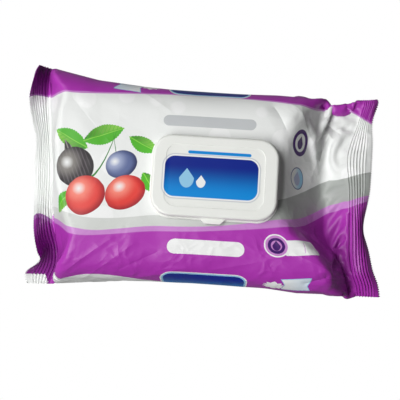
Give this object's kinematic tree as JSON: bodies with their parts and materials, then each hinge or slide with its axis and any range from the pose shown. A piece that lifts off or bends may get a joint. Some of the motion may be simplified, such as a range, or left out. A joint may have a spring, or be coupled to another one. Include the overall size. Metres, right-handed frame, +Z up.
{
  "type": "wet wipes pack",
  "caption": "Large soft pack of moist wipes: printed film wrapper with crimped end seals and a hinged flip-top dispensing lid.",
  "frame": {"origin": "middle of the pack's overall box, at the surface that it lies on", "axes": "+X along the pack from the shorter to the longer end seal, +Y towards the lid's hinge, +Z up through the lid"},
  "size_m": [0.2606, 0.162, 0.0625],
  "materials": {
    "printed_film": "gloss",
    "moist_nonwoven": "matte",
    "clear_glue": "satin",
    "white_moulding": "satin"
  },
  "bodies": {
    "pack": {"film_wrapper": "printed_film", "wipe_stack": "moist_nonwoven", "lid_adhesive": "clear_glue", "lid_base": "white_moulding", "hinge_strap_outer_left": "white_moulding", "hinge_strap_inner_left": "white_moulding", "hinge_strap_centre": "white_moulding", "hinge_strap_inner_right": "white_moulding", "hinge_strap_outer_right": "white_moulding"},
    "cover": {"lid_cover": "white_moulding"}
  },
  "joints": [
    {"name": "lid_hinge", "type": "hinge", "parent": "pack", "child": "cover", "pos_m": [0.008, 0.0323, 0.0579], "axis": [-1, 0, 0], "range_deg": [0, 135], "deforming": ["hinge_strap_outer_left", "hinge_strap_inner_left", "hinge_strap_centre", "hinge_strap_inner_right", "hinge_strap_outer_right"]}
  ]
}
